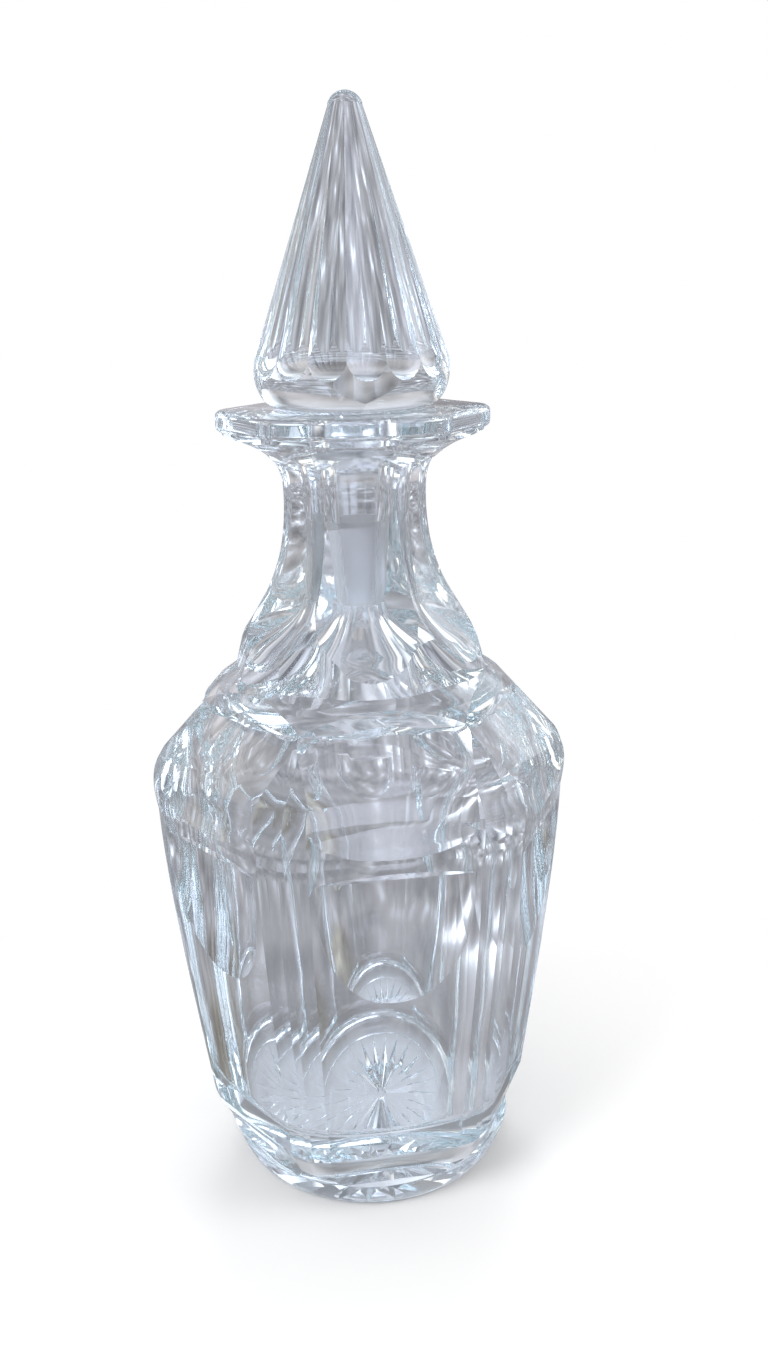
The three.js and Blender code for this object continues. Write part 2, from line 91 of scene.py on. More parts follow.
# How far the cutters reach through the air beside the glass, as shares of what they cut
reach = {
    "sideOut": 1.5, "panelOut": 1.4, "panelAcross": 3, "panelFoot": 2, "moonAcross": 1.1, "collarAcross": 0.6,
    "facetAcross": 0.34, "lipOut": 1.2, "lipDown": 1.6, "lipUp": 0.5,
}
# A star ray: how far out its root is, the shares of width and depth there, and its widest place and tip width
rayForm = {"rootOut": 0.4, "rootWidth": 0.5, "rootDepth": 0.8, "widestAt": 0.5, "tipWidth": 0.1}
finish = {
    "curveSteps": 24,        # points along each curve of a profile
    "acrossSteps": 48,       # points across a hollow cut
    "boreSegments": 192,
    "stopperSegments": 160,
    "roundEdgeSteps": 8,     # points round the lip's edges
    "blankStep": 2.5,        # degrees between the corners of the blank
    "blankReach": 20,        # degrees of round blank to each side of a panel's middle
    "sharpAngle": 9,         # edges steeper than this stay crisp
}

s = SimpleNamespace(**bottleSizes, **cutSizes, **stopperSizes, **finish)
sideStep = 360 / s.sideCount
footTop = s.footHeight
wallFoot = footTop + s.bevelHeight
wallTop = wallFoot + s.wallHeight
bulgeTop = wallTop + s.bulgeHeight
shoulderTop = bulgeTop + s.shoulderHeight
collarFoot = shoulderTop + s.collarBevelHeight
neckFoot = collarFoot + s.collarHeight
waist = neckFoot + s.lowerNeckHeight
lipUnder = waist + s.upperNeckHeight
lipTop = lipUnder + s.lipThickness
plugFoot = lipTop - s.plugLength
groundTop = plugFoot + s.groundLength
lipApothem = s.lipAcrossFlats / 2
lipCornerRadius = lipApothem / math.cos(math.pi / s.sideCount)


def lerp(a, b, share):
    return a + (b - a) * share


def curveTo(start, pullStart, pullEnd, end):
    # points along a cubic curve, without its first point
    points = []
    for i in range(1, s.curveSteps + 1):
        t = i / s.curveSteps
        u = 1 - t
        points.append(tuple(
            u ** 3 * a + 3 * u * u * t * b + 3 * u * t * t * c + t ** 3 * d
            for a, b, c, d in zip(start, pullStart, pullEnd, end)))
    return points


def onCircle(radius, azimuth, level):
    turn = math.radians(azimuth)
    return (radius * math.sin(turn), -radius * math.cos(turn), level)


def placed(out, across, azimuth, level):
    turn = math.radians(azimuth)
    return (out * math.sin(turn) + across * math.cos(turn),
            -out * math.cos(turn) + across * math.sin(turn), level)


def sagitta(radius, across):
    return radius - math.sqrt(radius * radius - across * across)


def meshObject(name, points, faces):
    mesh = bpy.data.meshes.new(name)
    mesh.from_pydata([tuple(c * mm for c in p) for p in points], [], faces)
    mesh.validate()
    thing = bpy.data.objects.new(name, mesh)
    bpy.context.scene.collection.objects.link(thing)
    return thing


def loft(name, rings):
    # closed skin through rings of points, each anticlockwise from above, lowest first
    count = len(rings[0])
    points = [p for ring in rings for p in ring]
    faces = []
    for level in range(len(rings) - 1):
        low, high = level * count, (level + 1) * count
        for i in range(count):
            j = (i + 1) % count
            faces.append((low + i, low + j, high + j, high + i))
    for start, up in ((0, False), ((len(rings) - 1) * count, True)):
        ring = points[start:start + count]
        points.append(tuple(sum(c) / count for c in zip(*ring)))
        for i in range(count):
            j = (i + 1) % count
            edge = (start + i, start + j) if up else (start + j, start + i)
            faces.append((len(points) - 1, *edge))
    return meshObject(name, points, faces)


def turned(name, profile, segments):
    # a profile that starts and ends on the axis, turned round it
    points, rows = [], []
    for radius, level in profile:
        if radius == 0:
            rows.append([len(points)] * segments)
            points.append((0, 0, level))
        else:
            rows.append([len(points) + i for i in range(segments)])
            points += [onCircle(radius, 360 * i / segments, level) for i in range(segments)]
    faces = []
    for low, high in zip(rows, rows[1:]):
        for i in range(segments):
            j = (i + 1) % segments
            face = (low[i], low[j], high[j], high[i])
            faces.append(tuple(dict.fromkeys(face)))
    return meshObject(name, points, faces)


def radiusAt(profile, level):
    for a, b in zip(profile, profile[1:]):
        if b[1] >= level:
            return lerp(a[0], b[0], (level - a[1]) / (b[1] - a[1])) if level > a[1] else a[0]
    return profile[-1][0]


def curveBetween(start, end, lowOut, lowUp, highOut, highUp):
    return curveTo(start, (lerp(start[0], end[0], lowOut), lerp(start[1], end[1], lowUp)),
                   (lerp(start[0], end[0], highOut), lerp(start[1], end[1], highUp)), end)


def outerProfile():
    footStart, footEnd = (s.footRadius, 0), (s.bevelRadius, footTop)
    wallStart, wallEnd = (s.wallFootRadius, wallFoot), (s.wallTopRadius, wallTop)
    bulgeEnd, neckStart = (s.bulgeTopRadius, bulgeTop), (s.neckFootRadius, neckFoot)
    waistPoint, lipStart = (s.waistRadius, waist), (lipCornerRadius - s.lipEdgeRound, lipUnder)
    lowOut, lowUp, highOut, highUp = pulls["bulge"]
    return [
        footStart,
        *curveBetween(footStart, footEnd, *pulls["foot"]),
        wallStart,
        *curveBetween(wallStart, wallEnd, *pulls["wall"]),
        *curveTo(wallEnd, (s.wallTopRadius + s.bulgeSwell * lowOut, wallTop + s.bulgeHeight * lowUp),
                 (s.bulgeTopRadius + s.bulgeSwell * highOut, wallTop + s.bulgeHeight * highUp), bulgeEnd),
        (s.shoulderTopRadius, shoulderTop),
        (s.collarRadius, collarFoot),
        neckStart,
        *curveBetween(neckStart, waistPoint, *pulls["neck"]),
        *curveBetween(waistPoint, lipStart, *pulls["flare"]),
        (lipCornerRadius, lipUnder + s.lipEdgeRound),
        (lipCornerRadius, lipTop),
    ]


def blank(profile):
    corners = []
    roundCount = round(2 * s.blankReach / s.blankStep)
    for side in range(s.sideCount):
        middle, rib = side * sideStep, (side + 0.5) * sideStep
        corners += [middle - s.blankReach + s.blankStep * i for i in range(roundCount + 1)]
        corners += [rib - s.ribHalfAngle, rib + s.ribHalfAngle]
    return loft("blank", [[onCircle(r, azimuth, z) for azimuth in corners] for r, z in profile])


def sideCut(name, steps, halfWidth, hollowRadius=None, arch=0):
    # a cutter whose face stands at a distance from the axis that changes with the level
    parts = s.acrossSteps if hollowRadius or arch else 1
    rings = []
    for step, (level, distance) in enumerate(steps):
        fall = arch if step == len(steps) - 1 else 0
        ring = []
        for i in range(parts + 1):
            share = 2 * i / parts - 1
            across = halfWidth * share
            hollow = sagitta(hollowRadius, across) if hollowRadius else 0
            ring.append(placed(distance + hollow, across, 0, level - fall * share * share))
        out = s.wallTopRadius * reach["sideOut"]
        ring += [placed(out, halfWidth, 0, level - fall), placed(out, -halfWidth, 0, level - fall)]
        rings.append(ring[::-1])
    return loft(name, rings)


def panelAt(profile, level):
    # how far a wide panel stands from the axis
    return (radiusAt(profile, level) - s.panelInset) * math.cos(math.radians(s.panelHalfAngle))


def panelCut(profile):
    lift = s.panelInset * reach["panelFoot"]
    top = shoulderTop - s.panelTopDrop
    steps = [(footTop, lift), (footTop + s.panelFootRise, 0), (wallFoot, 0)]
    steps += [(wallFoot + s.wallHeight * i / s.curveSteps, 0) for i in range(1, s.curveSteps + 1)]
    steps += [(level, 0) for radius, level in profile if wallTop < level < bulgeTop]
    steps += [(bulgeTop, 0), (top, 0)]
    rings = []
    for level, outward in steps:
        ridge = radiusAt(profile, level) + outward
        ring = []
        for side in (-1, 1):
            edge = onCircle(ridge - s.panelInset, side * s.panelHalfAngle, level)
            crest = onCircle(ridge - s.crestCut, side * (sideStep / 2 - s.ribHalfAngle), level)
            outer = tuple(lerp(a, b, reach["panelAcross"]) for a, b in zip(edge, crest))
            half = [edge, outer, onCircle(ridge * reach["panelOut"], side * s.panelHalfAngle, level)]
            ring += half[::-1] if side < 0 else half
        rings.append(ring[::-1])
    return loft("panelCut", rings)


def sliceCut(profile):
    # the hollow slice over the shoulder, arched on top and round below
    full = wallTop + s.sliceFootRise + s.sliceFootRound
    top = shoulderTop - s.sliceTopDrop
    steps = []
    for i in range(s.curveSteps + 1):
        fall = math.cos(math.pi / 2 * i / s.curveSteps)
        level = full - s.sliceFootRound * fall
        halfWidth = s.sliceHalfWidth * math.sqrt(1 - fall * fall)
        steps.append((level, panelAt(profile, level) - sagitta(s.sliceHollowRadius, halfWidth)))
    deep = sagitta(s.sliceHollowRadius, s.sliceHalfWidth)
    levels = [level for radius, level in profile if full < level < bulgeTop] + [bulgeTop, top]
    steps += [(level, panelAt(profile, level) - deep) for level in levels]
    return sideCut("sliceCut", steps, s.wallTopRadius / 2, s.sliceHollowRadius, s.sliceArch)


def moonCut(profile):
    top = wallTop - s.moonTopDrop
    hollowRadius = (s.moonHalfWidth ** 2 + s.moonDepth ** 2) / (2 * s.moonDepth)
    steps = []
    count = 2 * s.curveSteps
    for i in range(count + 1):
        fall = math.cos(math.pi / 2 * i / count)
        halfWidth = s.moonHalfWidth * max(0, 1 - fall ** s.moonFullness) ** (1 / s.moonFullness)
        level = top - s.moonHeight * fall
        steps.append((level, panelAt(profile, level) - sagitta(hollowRadius, halfWidth)))
    return sideCut("moonCut", steps, s.moonHalfWidth * reach["moonAcross"], hollowRadius)


def fluteCut(profile):
    low = neckFoot - s.fluteFootDrop
    high = lipUnder - s.fluteTopDrop
    halfStep = math.radians(sideStep / 2)
    steps = [(low - s.seatGap, radiusAt(profile, low) + s.seatGap)]
    count = 2 * s.curveSteps
    for i in range(1, count + 1):
        level = lerp(low, high - s.fluteTopRun, i / count)
        ridge = radiusAt(profile, level) - s.crestCut
        hollow = ridge * math.cos(halfStep) - sagitta(s.fluteHollowRadius, ridge * math.sin(halfStep))
        share = min(1, (level - low) / s.fluteFootRun)
        depth = (radiusAt(profile, level) - hollow) * math.sin(math.pi / 2 * share)
        steps.append((level, radiusAt(profile, level) - depth))
    steps.append((high, radiusAt(profile, high) + s.seatGap))
    return sideCut("fluteCut", steps, s.waistRadius, s.fluteHollowRadius)


def collarCut(profile):
    lean = (s.collarRadius - s.neckFootRadius) / s.collarHeight
    low = shoulderTop + s.collarBevelHeight * s.collarFlatStart
    high = neckFoot + s.collarHeight
    steps = [(low, radiusAt(profile, low) + s.seatGap)]
    steps += [(level, s.collarRadius - s.collarFlatInset - lean * (level - collarFoot))
              for level in (collarFoot, high)]
    return sideCut("collarCut", steps, s.collarRadius * reach["collarAcross"])


def lipRing(inset, level):
    out = (lipApothem - s.lipCornerRound) / math.cos(math.pi / s.sideCount)
    rounding = s.lipCornerRound - inset
    ring = []
    for corner in range(s.sideCount):
        turn = math.radians(corner * sideStep + s.lipTurn)
        for i in range(s.curveSteps + 1):
            angle = turn + math.pi / s.sideCount * (2 * i / s.curveSteps - 1)
            ring.append((out * math.cos(turn) + rounding * math.cos(angle),
                         out * math.sin(turn) + rounding * math.sin(angle), level))
    return ring


def lipCut():
    # all that lies outside the lip's rounded hexagon and its round edges
    low, high = lipTop - s.lipThickness * reach["lipDown"], lipTop + s.lipThickness * reach["lipUp"]
    loops = [lipRing(s.lipEdgeRound, low)]
    turns = [math.pi / 2 * i / s.roundEdgeSteps for i in range(s.roundEdgeSteps + 1)]
    loops += [lipRing(s.lipEdgeRound * (1 - math.sin(turn)), lipUnder + s.lipEdgeRound * (1 - math.cos(turn)))
              for turn in turns]
    loops += [lipRing(s.lipEdgeRound * (1 - math.cos(turn)), lipTop - s.lipEdgeRound * (1 - math.sin(turn)))
              for turn in turns]
    loops.append(lipRing(s.lipEdgeRound, high))
    for level in (high, low):
        wide = []
        for x, y, z in loops[0]:
            grow = lipCornerRadius * reach["lipOut"] / math.hypot(x, y)
            wide.append((x * grow, y * grow, level))
        loops.append(wide)
    count = len(loops[0])
    points = [p for loop in loops for p in loop]
    faces = []
    for a in range(len(loops)):
        b = (a + 1) % len(loops)
        for i in range(count):
            j = (i + 1) % count
            faces.append((a * count + j, a * count + i, b * count + i, b * count + j))
    return meshObject("lipCut", points, faces)


def plugRadiusAt(level):
    return s.plugFootRadius + s.plugTaper * (level - plugFoot)


def cavityProfile(outer):
    def wallInside(level):
        thickness = lerp(s.wallFootThickness, s.wallThickness, (level - wallFoot) / s.wallHeight)
        return radiusAt(outer, level) - thickness

    last = s.baseThickness + s.floorRound
    rim = wallInside(last) - s.floorRound
    profile = []
    for i in range(s.curveSteps):
        share = i / s.curveSteps
        profile.append((rim * share, s.baseThickness + s.floorDome * (1 - share * share)))
    for i in range(s.curveSteps + 1):
        turn = math.pi / 2 * i / s.curveSteps
        profile.append((rim + s.floorRound * math.sin(turn), last - s.floorRound * math.cos(turn)))
    for i in range(1, s.curveSteps + 1):
        level = lerp(last, wallTop, i / s.curveSteps)
        profile.append((wallInside(level), level))
    shoulderFall = (s.bulgeTopRadius - s.shoulderTopRadius) / s.shoulderHeight
    inward = s.shoulderThickness * math.hypot(1, shoulderFall)
    wallOut, wallUp, shoulderUp, turnShare = pulls["hollow"]
    lowLevel = bulgeTop + s.shoulderHeight * shoulderUp
    highLevel = shoulderTop - s.shoulderThickness / 2
    low, high = [(s.bulgeTopRadius - inward - shoulderFall * (level - bulgeTop), level)
                 for level in (lowLevel, highLevel)]
    wallEnd = profile[-1]
    turnIn = s.shoulderHeight * turnShare
    profile += curveTo(wallEnd, (wallEnd[0] + s.bulgeSwell * wallOut, wallTop + s.bulgeHeight * wallUp),
                       (low[0] + shoulderFall * turnIn, low[1] - turnIn), low)
    profile.append(high)
    bore = [(plugRadiusAt(level) + s.seatGap, level) for level in (plugFoot, groundTop)]
    lowIn, lowUp, highOut, highUp = pulls["throat"]
    profile += curveTo(high, (high[0] * lowIn, lerp(high[1], plugFoot, lowUp)),
                       (bore[0][0] * highOut, lerp(high[1], plugFoot, highUp)), bore[0])
    profile.append(bore[1])
    over = lipTop + s.lipThickness
    flare = (s.mouthRadius - bore[1][0]) / (lipTop - groundTop)
    profile += [(s.mouthRadius, lipTop), (s.mouthRadius + flare * s.lipThickness, over), (0, over)]
    return profile


def rayCut():
    # one V-shaped ray of the star, widest at its middle and pointed at its end
    below = -s.recessDepth
    spread = (s.starDepth + s.recessDepth - below) / s.starDepth
    stations = ((rayForm["rootOut"], rayForm["rootWidth"], rayForm["rootDepth"]),
                (s.starRadius * rayForm["widestAt"], 1, 1), (s.starRadius, rayForm["tipWidth"], 0))
    rings = []
    for out, width, depth in stations:
        half = s.rayHalfWidth * width * spread
        rings.append([placed(out, 0, 0, s.recessDepth + s.starDepth * depth), placed(out, -half, 0, below),
                      placed(out, half, 0, below)])
    return loft("rayCut", rings)


def plate(name, radius, top):
    foot = -s.recessDepth
    return turned(name, [(0, foot), (radius, foot), (radius, top), (0, top)], s.boreSegments)


def mapRange(add, link, value, fromMin, fromMax, toMin=0, toMax=1, smooth=False):
    node = add("ShaderNodeMapRange")
    if smooth:
        node.interpolation_type = "SMOOTHSTEP"
    for key, number in (("From Min", fromMin), ("From Max", fromMax), ("To Min", toMin), ("To Max", toMax)):
        node.inputs[key].default_value = number
    link(value, node.inputs["Value"])
    return node.outputs[0]


def mathNode(add, link, operation, *values):
    node = add("ShaderNodeMath")
    node.operation = operation
    for socket, value in zip(node.inputs, values):
        if isinstance(value, (int, float)):
            socket.default_value = value
        else:
            link(value, socket)
    return node.outputs[0]


def noise(add, link, place, size, detail=2, roughness=0.5):
    node = add("ShaderNodeTexNoise")
    for key, number in (("Scale", size), ("Detail", detail), ("Roughness", roughness)):
        node.inputs[key].default_value = number
    link(place, node.inputs["Vector"])
    return node.outputs["Fac"]


def cutTree():
    # cuts a ring of equal cutters out of the glass
    tree = bpy.data.node_groups.new("cutRoundTheAxis", "GeometryNodeTree")
    for name, kind in (("Glass", "Geometry"), ("Cutter", "Object"), ("Count", "Int"), ("First Turn", "Float"),
                       ("Size Change", "Float"), ("Seed", "Int"), ("Material", "Material")):
        tree.interface.new_socket(name, in_out="INPUT", socket_type="NodeSocket" + kind)
    tree.interface.new_socket("Glass", in_out="OUTPUT", socket_type="NodeSocketGeometry")
    add, link = tree.nodes.new, tree.links.new
    given, result = add("NodeGroupInput"), add("NodeGroupOutput")
    points = add("GeometryNodePoints")
    link(given.outputs["Count"], points.inputs["Count"])
    index, euler = add("GeometryNodeInputIndex"), add("ShaderNodeCombineXYZ")
    step = mathNode(add, link, "DIVIDE", 2 * math.pi, given.outputs["Count"])
    link(mathNode(add, link, "MULTIPLY_ADD", index.outputs[0], step, given.outputs["First Turn"]),
         euler.inputs["Z"])
    rotation = add("FunctionNodeEulerToRotation")
    link(euler.outputs[0], rotation.inputs[0])
    grow = add("FunctionNodeRandomValue")
    for operation, socket in (("SUBTRACT", grow.inputs[2]), ("ADD", grow.inputs[3])):
        link(mathNode(add, link, operation, 1, given.outputs["Size Change"]), socket)
    link(given.outputs["Seed"], grow.inputs["Seed"])
    scale = add("ShaderNodeCombineXYZ")
    link(grow.outputs[1], scale.inputs["X"])
    link(grow.outputs[1], scale.inputs["Y"])
    scale.inputs["Z"].default_value = 1
    cutter, instances = add("GeometryNodeObjectInfo"), add("GeometryNodeInstanceOnPoints")
    link(given.outputs["Cutter"], cutter.inputs["Object"])
    link(points.outputs[0], instances.inputs["Points"])
    link(cutter.outputs["Geometry"], instances.inputs["Instance"])
    link(rotation.outputs[0], instances.inputs["Rotation"])
    link(scale.outputs[0], instances.inputs["Scale"])
    cut = add("GeometryNodeMeshBoolean")
    cut.operation, cut.solver = "DIFFERENCE", "MANIFOLD"
    link(given.outputs["Glass"], cut.inputs["Mesh 1"])
    link(instances.outputs[0], cut.inputs["Mesh 2"])
    real, paint = add("GeometryNodeRealizeInstances"), add("GeometryNodeSetMaterial")
    link(cut.outputs["Mesh"], real.inputs[0])
    link(real.outputs[0], paint.inputs["Geometry"])
    link(given.outputs["Material"], paint.inputs["Material"])
    link(paint.outputs[0], result.inputs[0])
    return tree


def addCut(glass, tree, cutter, count=1, firstTurn=0, sizeChange=0, seed=1, material=None):
    step = glass.modifiers.new(cutter.name, "NODES")
    step.node_group = tree
    values = {"Cutter": cutter, "Count": count, "First Turn": math.radians(firstTurn),
              "Size Change": float(sizeChange), "Seed": seed, "Material": material}
    for item in tree.interface.items_tree:
        if item.in_out == "INPUT" and item.name in values:
            step[item.identifier] = values[item.name]


def plainMesh(name, source, cutters):
    # the evaluated result as one plain mesh, with crisp cut edges and smooth hollows
    evaluated = source.evaluated_get(bpy.context.evaluated_depsgraph_get())
    mesh = bpy.data.meshes.new_from_object(evaluated)
    mesh.name = name
    for spent in (source, *cutters):
        bpy.data.objects.remove(spent)
    for face in mesh.polygons:
        face.use_smooth = True
    mesh.set_sharp_from_angle(angle=math.radians(s.sharpAngle))
    thing = bpy.data.objects.new(name, mesh)
    bpy.context.scene.collection.objects.link(thing)
    mesh.calc_loop_triangles()
    print(name, len(mesh.loop_triangles), "triangles", [round(v / mm, 2) for v in thing.dimensions])
    return thing


# Glass
glassLook = {
    "colour": (0.97, 0.975, 0.98),
    "ior": 1.54,
    "tint": (0.65, 0.785, 0.80),   # what thick glass leaves of white light
    "tintDensity": 5.0,
    "rippleSize": 26,              # ripples per metre
    "rippleDetail": 1.5,
    "rippleDepth": 0.0006,         # metres
    "smudgeSize": 55,              # smudges per metre
    "smudgeDetail": (6, 0.62),     # octaves and their roughness
    "smudgeRange": (0.48, 0.78),   # noise values between which the dust thickens
    "clear": 0.025,                # roughness of the clean surface
    "haze": 0.055,                 # and where it is dusty
    "groundRoughness": 0.42,       # the zone where plug and bore are ground
    "grainSize": 2600,
    "grainDepth": 0.00006,
    "grainStrength": 0.5,
    "groundEdges": (0.0006, 0.0001),    # how softly the ground zone ends, up and outward
}


def band(add, link, value, low, high, soft):
    # 1 between low and high, 0 outside, both in metres
    rise = mapRange(add, link, value, low - soft, low + soft)
    fall = mapRange(add, link, value, high - soft, high + soft, 1, 0)
    return mathNode(add, link, "MULTIPLY", rise, fall)


def glassMaterial(name, groundLow, groundHigh, groundRadius):
    material = bpy.data.materials.new(name)
    material.use_nodes = True
    tree = material.node_tree
    add, link = tree.nodes.new, tree.links.new
    glass, out = tree.nodes["Principled BSDF"], tree.nodes["Material Output"]
    glass.inputs["Base Color"].default_value = (*glassLook["colour"], 1)
    glass.inputs["Transmission Weight"].default_value = 1
    glass.inputs["IOR"].default_value = glassLook["ior"]
    place, split = add("ShaderNodeTexCoord"), add("ShaderNodeSeparateXYZ")
    link(place.outputs["Object"], split.inputs[0])
    flat, radius = add("ShaderNodeCombineXYZ"), add("ShaderNodeVectorMath")
    radius.operation = "LENGTH"
    link(split.outputs["X"], flat.inputs["X"])
    link(split.outputs["Y"], flat.inputs["Y"])
    link(flat.outputs[0], radius.inputs[0])
    softUp, softOut = glassLook["groundEdges"]
    inBand = band(add, link, split.outputs["Z"], groundLow * mm, groundHigh * mm, softUp)
    inBore = band(add, link, radius.outputs["Value"], -1, groundRadius * mm, softOut)
    ground = mathNode(add, link, "MULTIPLY", inBand, inBore)
    # haze of dust and fingerprints, and the ground zone
    smudge = noise(add, link, place.outputs["Object"], glassLook["smudgeSize"], *glassLook["smudgeDetail"])
    hazy = mapRange(add, link, smudge, *glassLook["smudgeRange"], glassLook["clear"], glassLook["haze"])
    rough = add("ShaderNodeMix")
    link(ground, rough.inputs[0])
    link(hazy, rough.inputs[2])
    rough.inputs[3].default_value = glassLook["groundRoughness"]
    link(rough.outputs[0], glass.inputs["Roughness"])
    # slow ripples of hand-worked glass, and the grain of the ground zone
    ripples, grains = add("ShaderNodeBump"), add("ShaderNodeBump")
    ripples.inputs["Distance"].default_value = glassLook["rippleDepth"]
    ripples.inputs["Strength"].default_value = 1
    link(noise(add, link, place.outputs["Object"], glassLook["rippleSize"], glassLook["rippleDetail"]),
         ripples.inputs["Height"])
    link(mathNode(add, link, "MULTIPLY", ground, glassLook["grainStrength"]), grains.inputs["Strength"])
    grains.inputs["Distance"].default_value = glassLook["grainDepth"]
    link(noise(add, link, place.outputs["Object"], glassLook["grainSize"]), grains.inputs["Height"])
    link(ripples.outputs[0], grains.inputs["Normal"])
    link(grains.outputs[0], glass.inputs["Normal"])
    tint = add("ShaderNodeVolumeAbsorption")
    tint.inputs["Color"].default_value = (*glassLook["tint"], 1)
    tint.inputs["Density"].default_value = glassLook["tintDensity"]
    link(tint.outputs[0], out.inputs["Volume"])
    return material


# Bottle
bottleGlass = glassMaterial("bottleGlass", plugFoot, groundTop,
                            plugRadiusAt(groundTop) + s.seatGap + s.boreGroundReach)
tree = cutTree()
profile = outerProfile()
glassBlank = blank(profile)
cutters = []
for cutter, count, firstTurn, sizeChange in (
        (panelCut(profile), s.sideCount, 0, 0),
        (sliceCut(profile), s.sideCount, 0, 0),
        (moonCut(profile), s.sideCount, 0, 0),
        (fluteCut(profile), s.sideCount, s.neckTurn, 0),
        (collarCut(profile), s.sideCount, sideStep / 2, 0),
        (lipCut(), 1, 0, 0),
        (turned("cavity", cavityProfile(profile), s.boreSegments), 1, 0, 0),
        (plate("recess", s.recessRadius, s.recessDepth), 1, 0, 0),
        (plate("starButton", s.starButtonRadius, s.recessDepth + s.starDepth), 1, 0, 0),
        (rayCut(), s.starRays, s.starTurn, s.rayLengthChange)):
    addCut(glassBlank, tree, cutter, count, firstTurn, sizeChange, 1, bottleGlass)
    cutters.append(cutter)
bottle = plainMesh("cut_bottle", glassBlank, cutters)
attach(bottle, "bottle")
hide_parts("bottle")
print("bottle done")


# Stopper
def stopperProfile():
    seat = lipTop + s.seatGap
    coneFoot = seat + s.bulbHeight
    domeMiddle = coneFoot + s.coneHeight - s.coneTipRadius
    lean = math.atan((s.coneFootRadius - s.coneTipRadius) / (s.coneHeight - s.coneTipRadius))
    outline = [(0, plugFoot)]
    for i in range(s.curveSteps + 1):
        turn = math.pi / 2 * i / s.curveSteps
        outline.append((plugRadiusAt(plugFoot) - s.plugFootRound * (1 - math.sin(turn)),
                        plugFoot + s.plugFootRound * (1 - math.cos(turn))))
    outline += [(plugRadiusAt(level), level) for level in (groundTop, seat - s.plugTopDrop)]
    outline += [(plugRadiusAt(seat) + s.plugTopFlare, seat), (s.bulbSeatRadius, seat)]
    lowOut, lowUp, highOut, highUp = pulls["bulb"]
    outline += curveTo((s.bulbSeatRadius, seat), (s.bulbRadius + lowOut, seat + s.bulbHeight * lowUp),
                       (s.bulbRadius + highOut, seat + s.bulbHeight * highUp), (s.coneFootRadius, coneFoot))
    for i in range(s.curveSteps + 1):
        turn = lerp(lean, math.pi / 2, i / s.curveSteps)
        outline.append((0 if i == s.curveSteps else s.coneTipRadius * math.cos(turn),
                        domeMiddle + s.coneTipRadius * math.sin(turn)))
    return outline


def facetCut(outline):
    # one long hollow facet up the cone
    seat = lipTop + s.seatGap
    coneFoot = seat + s.bulbHeight
    foot = outline[-s.curveSteps - 2]
    top = outline[-s.curveSteps - 1]
    slope = (foot[0] - top[0]) / (top[1] - foot[1])
    halfTurn = math.pi / s.facetCount
    steps = []
    for i in range(s.curveSteps + 1):
        level = lerp(seat - s.facetFootDrop, top[1], i / s.curveSteps)
        radius = foot[0] + slope * (coneFoot - level) - s.facetInset
        hollow = sagitta(s.facetHollowRadius, radius * math.sin(halfTurn))
        steps.append((level, radius * math.cos(halfTurn) - hollow))
    return sideCut("facetCut", steps, s.coneFootRadius * reach["facetAcross"], s.facetHollowRadius)


stopperGlass = glassMaterial("stopperGlass", plugFoot + s.groundFootGap, groundTop,
                             plugRadiusAt(groundTop) + s.plugGroundReach)
outline = stopperProfile()
stopperBlank = turned("stopperBlank", outline, s.stopperSegments)
facet = facetCut(outline)
addCut(stopperBlank, tree, facet, s.facetCount, 0, 0, 1, stopperGlass)
stopper = plainMesh("cut_stopper", stopperBlank, [facet])
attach(stopper, "stopper")
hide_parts("stopper")
print("stopper done")

# Studio: pale floor, white background, soft lamps
studio = {
    "plainLight": 0.75,
    "floorColour": (0.86, 0.86, 0.86),
    # what the glass shows of the floor, by the value of a slow noise: tabletop tones, and at the top values
    # painted light that glows brighter than white, for highlights in the glass
    "tableAndGlowColours": ((0.30, (0.20, 0.20, 0.22)), (0.45, (0.33, 0.33, 0.36)), (0.56, (0.47, 0.47, 0.51)),
                     (0.64, (0.72, 0.76, 0.86)), (0.72, (1.6, 1.7, 1.85))),
    # light gathered under the foot: colour, and where it fades out, in metres from the axis
    "footGlow": ((0.66, 0.70, 0.79), 0.024, 0.040),
    # painted shade: a warm dark patch multiplied into what the glass sees of the floor behind the left side:
    # middle, inner and outer reach, colour
    "tableShade": ((-0.085, 0.055, 0), 0.035, 0.08, (0.56, 0.52, 0.42)),
    # what the glass shows of the room, from straight down to straight up
    "roomColours": ((0.0, (0.45, 0.43, 0.45)), (0.42, (0.34, 0.33, 0.37)), (0.50, (0.42, 0.40, 0.41)),
                    (0.66, (0.55, 0.56, 0.61)), (0.85, (0.40, 0.41, 0.47)), (1.0, (0.8, 0.86, 1.0))),
    # towards, half width, softness, light
    "windows": (((0.33, -0.91, 0.24), 26, 10, (2.7, 3.0, 3.8)),
                ((0.30, -0.60, 0.74), 24, 12, (0.72, 0.74, 0.88)),
                ((-0.9, 0.35, 0.30), 16, 12, (1.35, 1.3, 1.15)),
                ((0.85, 0.45, 0.35), 18, 12, (1.5, 1.65, 1.8))),
    # size of the noise that gives the tabletop tones and the painted glow; of the room's, with the values
    # between which it goes from dark to light
    "tableAndGlowNoise": 8,
    "roomNoise": (2.6, 0.38, 0.62, 0.45, 1.6),
    # metres from the axis between which the floor turns into the white background
    "floorEnd": (0.07, 0.2),
    # name, size, place, aim and watts
    "lamps": (("windowLamp", (0.5, 0.7), (-0.7, -0.5, 0.75), (0, 0, 0.12), 7),
              ("fillLamp", (0.5, 0.5), (0.75, -0.3, 0.5), (0, 0, 0.12), 3),
              ("backLamp", (0.6, 0.3), (0.2, 0.8, 0.7), (0, 0, 0.15), 4)),
    "bounces": 32,    # thick cut glass sends light round many times
}
cameraLook = {
    "place": (-0.05281, -0.3492, 0.2520),
    "heading": (0.16849, 0.98570, 0),
    "downward": 16.8,      # degrees
    "roll": -1.2,
    "sensorHeight": 24,
    "focalShare": 1300 / 1365,    # of the picture's height
}


